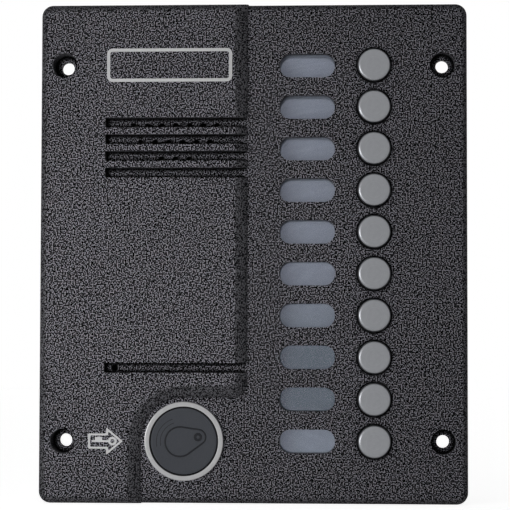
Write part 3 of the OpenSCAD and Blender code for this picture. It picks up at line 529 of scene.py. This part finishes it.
plainValues = {
    "signSilver": ((0.72, 0.72, 0.73), (0.80, 0.80, 0.81), (0.45, 0.6), 3500, 0.1, 0.03, 0.2),
    "springSteel": ((0.42, 0.42, 0.43), (0.52, 0.52, 0.53), (0.22, 0.34), 3000, 0.08, 0.02, 1.0),
    "screwSteel": ((0.44, 0.44, 0.43), (0.56, 0.56, 0.54), (0.24, 0.42), 2200, 0.1, 0.02, 1.0),
    "readerBlack": ((0.042, 0.047, 0.058), (0.056, 0.061, 0.073), (0.45, 0.58), 3200, 0.25, 0.04, 0, 0.35),
    # painted shade: the relief is darker than the pad it stands on, for the shade along its raised lines
    "reliefShadeBlack": ((0.014, 0.016, 0.020), (0.022, 0.024, 0.029), (0.42, 0.55), 3200, 0.15, 0.04, 0, 0.22),
    "boxPlastic": ((0.062, 0.064, 0.068), (0.078, 0.080, 0.084), (0.5, 0.64), 2600, 0.3, 0.06, 0, 0.4),
    "sealRubber": ((0.016, 0.016, 0.017), (0.027, 0.027, 0.028), (0.62, 0.8), 1800, 0.3, 0.05, 0, 0.3),
    "componentBlack": ((0.014, 0.014, 0.016), (0.024, 0.024, 0.026), (0.42, 0.6), 2400, 0.2, 0.03),
    "ledLens": ((0.62, 0.66, 0.70), (0.72, 0.75, 0.78), (0.12, 0.2), 900, 0.03, 0.02),
    "brass": ((0.50, 0.35, 0.13), (0.62, 0.46, 0.20), (0.26, 0.42), 1600, 0.1, 0.02, 1.0),
    "relayBlue": ((0.022, 0.062, 0.20), (0.028, 0.075, 0.235), (0.3, 0.42), 1900, 0.12, 0.03),
    "capacitorSleeve": ((0.020, 0.023, 0.075), (0.028, 0.032, 0.095), (0.24, 0.36), 1200, 0.06, 0.02),
    "terminalGreen": ((0.040, 0.175, 0.075), (0.052, 0.21, 0.092), (0.36, 0.5), 2000, 0.15, 0.03),
    "magnetFerrite": ((0.035, 0.034, 0.035), (0.055, 0.053, 0.054), (0.5, 0.7), 2600, 0.35, 0.05),
    "conePaper": ((0.030, 0.029, 0.028), (0.060, 0.058, 0.055), (0.75, 0.9), 1400, 0.5, 0.08, 0, 0.2),
    "capsuleFelt": ((0.012, 0.012, 0.013), (0.026, 0.026, 0.027), (0.75, 0.9), 2600, 0.4, 0.05, 0, 0.2),
    "leadRed": ((0.36, 0.020, 0.016), (0.44, 0.030, 0.024), (0.36, 0.5), 1500, 0.08, 0.02),
}
for name, values in plainValues.items():
    grainMaterial(name, *values)
print("plain finishes ready:", len(finish))


# wound copper: wire laid round the reader's axis, seen as fine ridges across it
tree, shader, vector = newMaterial("coilCopper")
wires = waveNode(tree, vector, "Y", 900, 0.6)
copperTone = mixColors(tree, wires, (0.20, 0.065, 0.022), (0.56, 0.24, 0.10))
setSurface(tree, shader, copperTone, rangeNode(tree, wires, 0, 1, 0.45, 0.28), wires, 0.6, 0.12)
shader.inputs["Metallic"].default_value = 1.0

# grey ribbon: ribs that run along it, across Z
ribbonValues = {"wirePitch": 1.27}
tree, shader, vector = newMaterial("ribbonGrey")
ribScale = math.tau / 20 / (ribbonValues["wirePitch"] * mm)  # the wave node turns 20 radians a unit
ribs = waveNode(tree, vector, "Z", ribScale)
ribTone = mixColors(tree, ribs, (0.22, 0.22, 0.23), (0.36, 0.36, 0.37))
setSurface(tree, shader, ribTone, rangeNode(tree, ribs, 0, 1, 0.6, 0.45), ribs, 0.6, 0.3)

# circuit board: solder mask over tracks
boardValues = {
    "Scale": 1, "Mortar Size": 0.00022, "Mortar Smooth": 0.3, "Brick Width": 0.0093, "Row Height": 0.0021,
    "Color1": (0.010, 0.085, 0.030), "Color2": (0.012, 0.095, 0.035), "Mortar": (0.030, 0.165, 0.060),
}
tree, shader, vector = newMaterial("boardGreen", turn=(math.pi / 2, 0, 0))
tracks = tree.nodes.new("ShaderNodeTexBrick")
tracks.offset = 0.37
feed(tree, tracks.inputs["Vector"], vector)
for label, value in boardValues.items():
    feed(tree, tracks.inputs[label], value)
mask = noiseNode(tree, vector, 1400, 3)
cloud = rangeNode(tree, mask, 0.3, 0.7, 0, 0.35)
maskTone = mixColors(tree, cloud, tracks.outputs["Color"], (0.020, 0.11, 0.045))
maskRough = rangeNode(tree, mask, 0.3, 0.7, 0.28, 0.42)
setSurface(tree, shader, maskTone, maskRough, tracks.outputs["Fac"], 0.3, 0.05)

# card behind the windows: pale blue-grey; a painted reflection darkens two fields low down, and painted shade
# dims the left end of each window
cardValues = {
    "top": 63.75, "length": 127.5, "left": 8.0, "fade": 8.5, "leftShade": 0.62,
    "paintedGlow": 0.035, "filmIndex": 2.4, "filmGloss": 0.69, "filmTint": (0.752, 0.808, 1.0, 1),
}
v = cardValues
tree, shader, vector = newMaterial("cardStock")
x, _, z = splitVector(tree, vector)
along = rangeNode(tree, z, (v["top"] - v["length"]) * mm, v["top"] * mm, 0, 1)
paintedLightCardTone = rampNode(tree, along, [
    (0.0, (0.60, 0.67, 0.76)), (0.08, (0.59, 0.66, 0.75)),
    (0.14, (0.050, 0.12, 0.13)), (0.26, (0.050, 0.12, 0.13)),
    (0.34, (0.39, 0.46, 0.52)), (0.43, (0.54, 0.59, 0.68)),
    (0.85, (0.55, 0.60, 0.69)), (1.0, (0.60, 0.65, 0.75))], "EASE")
# painted shade: the left end of each window is dimmer, where the window's wall shades the card
shade = rangeNode(tree, x, v["left"] * mm, (v["left"] + v["fade"]) * mm, v["leftShade"], 1)
paintedLightCardTone = mixColors(tree, 1.0, paintedLightCardTone, shade, "MULTIPLY")
fibre = noiseNode(tree, vector, 1800, 4, 0.65)
fibreTone = mixColors(tree, rangeNode(tree, fibre, 0.3, 0.7, 0, 0.12), paintedLightCardTone, (0.59, 0.61, 0.61))
setSurface(tree, shader, fibreTone, rangeNode(tree, fibre, 0.3, 0.7, 0.05, 0.07), fibre, 0.05, 0.03)
shader.inputs["IOR"].default_value = v["filmIndex"]  # a glossy film is laid over it
shader.inputs["Specular IOR Level"].default_value = v["filmGloss"]
shader.inputs["Specular Tint"].default_value = v["filmTint"]
feed(tree, shader.inputs["Emission Color"], paintedLightCardTone)  # painted glow: the card gives off a little light in its own tone
shader.inputs["Emission Strength"].default_value = v["paintedGlow"]

# clear strip over the card, thin enough to be shown by its cover alone
tree, shader, vector = newMaterial("clearPlastic")
haze = noiseNode(tree, vector, 700, 3)
feed(tree, shader.inputs["Base Color"], mixColors(tree, haze, (0.30, 0.33, 0.37), (0.36, 0.39, 0.43)))
feed(tree, shader.inputs["Roughness"], rangeNode(tree, haze, 0.3, 0.7, 0.16, 0.24))
feed(tree, shader.inputs["Alpha"], rangeNode(tree, haze, 0.3, 0.7, 0.07, 0.11))
shader.inputs["Specular IOR Level"].default_value = 0.35
print("patterned finishes ready")


# the CAD nodes whose shape is right keep it and take a finish
dressing = {
    "clearPlastic": ["label_window_strip"], "cardStock": ["name_card"],
    "sealRubber": ["wall_seal", "box_seal", "speaker_gasket", "microphone_boot", "cable_grommet"],
    "screwSteel": [
        "box_screws", "keypad_screws", "board_screws", "terminal_screws", "speaker_clamps", "speaker_screws"],
    "boardGreen": ["keypad_board", "main_board"],
    "componentBlack": ["call_switches", "controller_chip", "ribbon_headers"],
    "ledLens": ["backlight_leds"], "brass": ["board_standoffs", "reader_nut"], "relayBlue": ["lock_relay"],
    "capacitorSleeve": ["smoothing_capacitors"], "terminalGreen": ["terminal_block"],
    "ribbonGrey": ["ribbon_cable"],
    "speakerSteel": ["speaker_basket"], "conePaper": ["speaker_cone"], "magnetFerrite": ["speaker_magnet"],
    "leadRed": ["speaker_leads", "microphone_leads", "reader_leads"], "capsuleFelt": ["microphone_capsule"],
    "coilCopper": ["reader_coil"],
}
for name, dressed in dressing.items():
    for node in dressed:
        for slot in nodes[node].material_slots:
            slot.material = finish[name]
print("frame dressed")


# the cast panel: its edges broken as a coat of enamel leaves them
panelValues = {"edgeBreak": 0.22, "edgeSteps": 2}
panelShell = softCopy("front_panel", "panelShell", panelValues)
finishPiece(panelShell, "hammerPaint", "panel", "hammer_paint", "front_panel")
print("panel shell:", len(panelShell.data.polygons), "faces")

# printed signs, a thin raised film with soft edges
signValues = {
    "edgeBreak": 0.05, "edgeSteps": 2,
    "arrowCorner": 0.4, "keyHalf": 1.45, "keyEnd": -40.6,  # the key in the arrow keeps its sharp corners
}
nameplateFrame = softCopy("nameplate_frame", "nameplateOutline", signValues)
finishPiece(nameplateFrame, "signSilver", "panel", "sign_silver", "nameplate_frame")


def onArrow(point):
    beside = abs(point.z / mm - readerCentre[1]) > signValues["keyHalf"]
    return beside or point.x / mm > signValues["keyEnd"]


keyArrow = softCopy("key_arrow_sign", "keyArrow", signValues, signValues["arrowCorner"], onArrow)
finishPiece(keyArrow, "signSilver", "panel", "sign_silver", "key_arrow_sign")
print("signs made")

# the box in the wall
boxValues = {"edgeBreak": 0.5, "edgeSteps": 3}
boxShell = softCopy("rear_box", "boxShell", boxValues)
finishPiece(boxShell, "boxPlastic", "panel", "box_plastic", "rear_box")
print("box shell:", len(boxShell.data.polygons), "faces")

# call buttons: one turned, then copies down the column
buttonValues = {
    "segments": 96, "radius": 5.0, "front": 7.6, "edge": 1.1, "crown": 0.04,
    "crownSteps": ((0.62, 0.45), (0.36, 0.15), (0.12, 0.0)),  # share of the radius, share of the crown
    "stem": 1.7, "stemEnd": 1.15, "stemBreak": 0.15,
    "flange": 6.0, "flangeBack": 1.7, "flangeFront": 2.9, "flangeBreak": 0.1, "flats": 5.85,
}
v = buttonValues
buttonProfile = [
    (v["stem"] - v["stemBreak"], v["stemEnd"]), (v["stem"], v["stemEnd"] + v["stemBreak"]),
    (v["stem"], v["flangeBack"]),
    (v["flange"] - v["flangeBreak"], v["flangeBack"]), (v["flange"], v["flangeBack"] + v["flangeBreak"]),
    (v["flange"], v["flangeFront"] - v["flangeBreak"]), (v["flange"] - v["flangeBreak"], v["flangeFront"]),
    (v["radius"], v["flangeFront"]),
    *arcPoints((v["radius"] - v["edge"], v["front"] - v["edge"] - v["crown"]), v["edge"], 0, 90, 10),
    *[(v["radius"] * reach, v["front"] - v["crown"] * drop) for reach, drop in v["crownSteps"]],
]
firstButton = turnPiece("callButton01", buttonProfile, (buttonX, buttonTop), v["segments"])
for side in (1, -1):  # flats that keep the flange from turning
    startEdit(firstButton, action="SELECT")
    bpy.ops.mesh.bisect(
        plane_co=(0, 0, (buttonTop + side * v["flats"]) * mm), plane_no=(0, 0, side),
        use_fill=True, clear_outer=True, threshold=cutGap)
settle(firstButton)
buttons = copyDown(firstButton, "callButton")
for i, piece in enumerate(buttons, 1):
    finishPiece(piece, "buttonNickel", f"call_button_{i:02d}", "button_nickel", f"call_button_{i:02d}")
print("buttons turned:", len(buttons))

# return springs: a round wire section carried along a screw
springValues = {"wire": 0.6, "turns": 4, "sides": 10, "steps": 40, "travel": 1.0}
v = springValues
lowCorner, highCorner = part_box("button_spring_01")
springAxis = (lowCorner + highCorner) / 2
coilRadius = (highCorner.x - lowCorner.x) / 2 - v["wire"] / 2 * mm
springLength = highCorner.y - lowCorner.y
deselectAll()
bpy.ops.mesh.primitive_circle_add(
    vertices=v["sides"], radius=v["wire"] / 2 * mm, fill_type="NOTHING", location=(coilRadius, 0, 0))
firstSpring = bpy.context.object
firstSpring.name = "returnSpring01"
settle(firstSpring)
screw = firstSpring.modifiers.new("coil", "SCREW")
screw.axis = "Y"
screw.angle = math.tau * v["turns"]
screw.screw_offset = springLength - v["wire"] * mm
screw.steps = screw.render_steps = v["steps"] * v["turns"]
applyModifiers(firstSpring)
startEdit(firstSpring, action="SELECT")
bpy.ops.mesh.remove_doubles(threshold=mergeGap)
bpy.ops.mesh.select_all(action="DESELECT")
bpy.ops.mesh.select_non_manifold()
bpy.ops.mesh.fill_holes(sides=0)  # the cut ends of the wire
closeMesh()
firstSpring.location = (springAxis.x, lowCorner.y + v["wire"] / 2 * mm, springAxis.z)
settle(firstSpring, 60)
springs = copyDown(firstSpring, "returnSpring")
for i, piece in enumerate(springs, 1):
    finishPiece(piece, "springSteel", "panel", "spring_steel", f"button_spring_{i:02d}")
    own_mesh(piece)
print("springs wound:", len(springs))

# key reader: turned ring with a threaded barrel
ringValues = {
    "segments": 128, "outer": 11.95, "inner": 10.4, "front": 8.0, "back": 6.0, "seat": 6.6,
    "edge": 0.25, "lip": 0.08, "barrel": 9.0, "barrelEnd": -1.5, "bore": 7.5,
    "thread": 0.75, "threadDepth": 0.35, "threadEnd": 2.6, "neck": 3.2,
}
v = ringValues
threadRoot = v["barrel"] - v["threadDepth"]
ringProfile = [(v["bore"], v["barrelEnd"]), (threadRoot, v["barrelEnd"])]
height = v["barrelEnd"] + v["thread"] / 2
while height < v["threadEnd"]:  # thread drawn as close rings
    ringProfile += [(v["barrel"], height), (threadRoot, height + v["thread"] / 2)]
    height += v["thread"]
ringProfile += [
    (v["barrel"], v["neck"]), (v["barrel"], v["back"]), (v["outer"], v["back"]),
    *arcPoints((v["outer"] - v["edge"], v["front"] - v["edge"]), v["edge"], 0, 90, 5),
    *arcPoints((v["inner"] + v["lip"], v["front"] - v["lip"]), v["lip"], 90, 180, 3),
    (v["inner"], v["seat"]), (v["bore"], v["seat"]), (v["bore"], v["barrelEnd"]),
]
readerRing = turnPiece("readerRing", ringProfile, readerCentre, v["segments"], loop=True)
settle(readerRing)
finishPiece(readerRing, "readerNickel", "panel", "reader_nickel", "reader_ring")

# the moulded pad in it, a little dished
padValues = {
    "segments": 128, "radius": 10.05, "front": 7.65, "seat": 6.6, "edge": 0.15,
    "stub": 5.3, "stubEnd": 1.0, "stubBreak": 0.2,
    "dish": 0.06, "dishStart": 0.9, "dishFoot": 1.4, "middle": 0.3,
}
v = padValues
dishFloor = v["front"] - v["dish"]
padProfile = [
    (v["stub"] - v["stubBreak"], v["stubEnd"]), (v["stub"], v["stubEnd"] + v["stubBreak"]),
    (v["stub"], v["seat"]), (v["radius"], v["seat"]),
    *arcPoints((v["radius"] - v["edge"], v["front"] - v["edge"]), v["edge"], 0, 90, 5),
    (v["radius"] - v["dishStart"], v["front"]), (v["radius"] - v["dishFoot"], dishFloor),
    (v["radius"] * v["middle"], dishFloor),
]
readerPad = turnPiece("readerPad", padProfile, readerCentre, v["segments"])
settle(readerPad)
finishPiece(readerPad, "readerBlack", "panel", "reader_black", "reader_pad")
print("reader turned")

# relief on the pad: the outline of a key fob and two waves beside it
reliefValues = {
    "line": 0.26, "face": 7.58,
    "fob": (-22.0, -57.3, 4.45), "end": (-16.5, -55.9, 2.3), "holes": (1.05, 0.72), "overlap": 0.03,
    "waves": (5.9, 7.1), "waveTurn": 138, "waveSpan": 46, "waveSink": 0.215,  # degrees from the fob's axis
    "fobSteps": 96, "endSteps": 72, "holeSteps": 40, "waveSteps": 120,
}
v = reliefValues
fobX, fobZ, fobR = v["fob"]
endX, endZ, endR = v["end"]
axisAngle = math.atan2(endZ - fobZ, endX - fobX)
tangent = math.acos((fobR - endR) / math.hypot(endX - fobX, endZ - fobZ))


def addCircle(centre, radius, vertices, sink=0.0):
    deselectAll()
    bpy.ops.mesh.primitive_circle_add(
        vertices=vertices, radius=radius * mm, fill_type="NOTHING",
        location=(centre[0] * mm, (sink - reliefValues["face"]) * mm, centre[1] * mm),
        rotation=(math.pi / 2, 0, 0))
    circle = bpy.context.object
    bpy.ops.object.transform_apply(location=True, rotation=True, scale=True)
    return circle


def keepArc(circle, centre, keep):  # deletes the points of a circle that keep() turns down
    startEdit(circle, action="DESELECT")
    endEdit()
    for vertex in circle.data.vertices:
        turn = math.atan2(vertex.co.z - centre[1] * mm, vertex.co.x - centre[0] * mm) - axisAngle
        vertex.select = not keep(math.atan2(math.sin(turn), math.cos(turn)))
    startEdit(circle)
    bpy.ops.mesh.delete(type="VERT")
    endEdit()


def joinPieces(first, *others):
    makeActive(first)
    for piece in others:
        piece.select_set(True)
    bpy.ops.object.join()


def onWave(turn):
    return abs(turn - math.radians(reliefValues["waveTurn"])) < math.radians(reliefValues["waveSpan"])


fobLine = addCircle((fobX, fobZ), fobR, v["fobSteps"])
keepArc(fobLine, (fobX, fobZ), lambda turn: abs(turn) >= tangent - v["overlap"])
endLine = addCircle((endX, endZ), endR, v["endSteps"])
keepArc(endLine, (endX, endZ), lambda turn: abs(turn) <= tangent + v["overlap"])
joinPieces(fobLine, endLine)
for side in (1, -1):  # straight flanks between the two arcs
    startEdit(fobLine, action="DESELECT")
    endEdit()
    edgeCounts = [0] * len(fobLine.data.vertices)
    for edge in fobLine.data.edges:
        for index in edge.vertices:
            edgeCounts[index] += 1
    for vertex in fobLine.data.vertices:
        rise, run = vertex.co.z - fobZ * mm, vertex.co.x - fobX * mm
        across = rise * math.cos(axisAngle) - run * math.sin(axisAngle)
        vertex.select = edgeCounts[vertex.index] == 1 and across * side > 0
    startEdit(fobLine)
    bpy.ops.mesh.edge_face_add()
endEdit()
lines = [addCircle((endX, endZ), radius, v["holeSteps"]) for radius in v["holes"]]
for radius in v["waves"]:
    wave = addCircle((fobX, fobZ), radius, v["waveSteps"], v["waveSink"])
    keepArc(wave, (fobX, fobZ), onWave)
    lines.append(wave)
joinPieces(fobLine, *lines)
fobLine.name = "fobRelief"
bpy.ops.object.convert(target="CURVE")
curve = bpy.context.object.data
curve.bevel_depth = v["line"] * mm
curve.bevel_resolution = 2
curve.use_fill_caps = True
bpy.ops.object.convert(target="MESH")
fobRelief = bpy.context.object
startEdit(fobRelief)
closeMesh()  # joins the caps to their lines
settle(fobRelief, 60)
finishPiece(fobRelief, "reliefShadeBlack", "panel", "reader_black")
print("relief drawn")


# floor, light and background
stageValues = {
    "floor": -76.0, "size": 2.4, "setBack": 0.3, "glow": 0.84,
    "keyPower": 0.312, "keyPlace": (-0.085, -0.20, -0.07), "keySize": (0.04, 0.22),
    "sidePower": 1.0, "sidePlace": (-0.26, -0.24, -0.06), "sideSize": (0.21, 0.21),
    "sky": 0.09, "mirrored": 1.0,
}
v = stageValues
deselectAll()
bpy.ops.mesh.primitive_plane_add(size=v["size"], location=(0, v["setBack"], v["floor"] * mm))
floor = bpy.context.object
floor.name = "studioFloor"
floorPaper = bpy.data.materials.new("floorPaper")
floorPaper.use_nodes = True
tree = floorPaper.node_tree
shader = tree.nodes["Principled BSDF"]
coords = tree.nodes.new("ShaderNodeTexCoord")
paperNoise = noiseNode(tree, coords.outputs["Object"], 40, 3)
feed(tree, shader.inputs["Base Color"], mixColors(tree, paperNoise, (0.80, 0.80, 0.80), (0.84, 0.84, 0.84)))
shader.inputs["Roughness"].default_value = 0.9
lightPath = tree.nodes.new("ShaderNodeLightPath")
seen = mathNode(tree, "MAXIMUM", lightPath.outputs["Is Camera Ray"], lightPath.outputs["Is Glossy Ray"])
glow = tree.nodes.new("ShaderNodeEmission")
glow.inputs["Strength"].default_value = v["glow"]
add = tree.nodes.new("ShaderNodeAddShader")
pick = tree.nodes.new("ShaderNodeMixShader")
feed(tree, add.inputs[0], shader.outputs[0])
feed(tree, add.inputs[1], glow.outputs[0])
feed(tree, pick.inputs[0], seen)
feed(tree, pick.inputs[1], shader.outputs[0])
feed(tree, pick.inputs[2], add.outputs[0])
feed(tree, tree.nodes["Material Output"].inputs["Surface"], pick.outputs[0])
floor.data.materials.append(floorPaper)


def areaLamp(name, place, size, power):  # aimed at the middle of the panel
    deselectAll()
    bpy.ops.object.light_add(type="AREA", location=place)
    lamp = bpy.context.object
    lamp.name = name
    lamp.data.shape = "RECTANGLE"
    lamp.data.size, lamp.data.size_y = size
    lamp.data.energy = power
    lamp.visible_camera = False
    lamp.rotation_euler = (-Vector(place)).to_track_quat("-Z", "Y").to_euler()
    return lamp


keyLamp = areaLamp("keyLamp", v["keyPlace"], v["keySize"], v["keyPower"])
keyLamp.visible_glossy = False  # no hot spot in the satin metal
sideLamp = areaLamp("sideLamp", v["sidePlace"], v["sideSize"], v["sidePower"])
sideLamp.visible_diffuse = False  # only its glint on the edges
world = bpy.data.worlds.new("studioWorld")
scene.world = world
world.use_nodes = True
tree = world.node_tree
background = tree.nodes["Background"]
background.inputs["Color"].default_value = (1, 1, 1, 1)
lightPath = tree.nodes.new("ShaderNodeLightPath")
seen = mathNode(tree, "MAXIMUM", lightPath.outputs["Is Camera Ray"], lightPath.outputs["Is Transmission Ray"])
mirrored = rangeNode(tree, lightPath.outputs["Is Glossy Ray"], 0, 1, v["sky"], v["mirrored"])
feed(tree, background.inputs["Strength"], mathNode(tree, "MAXIMUM", seen, mirrored))
print("stage lit")

deselectAll()
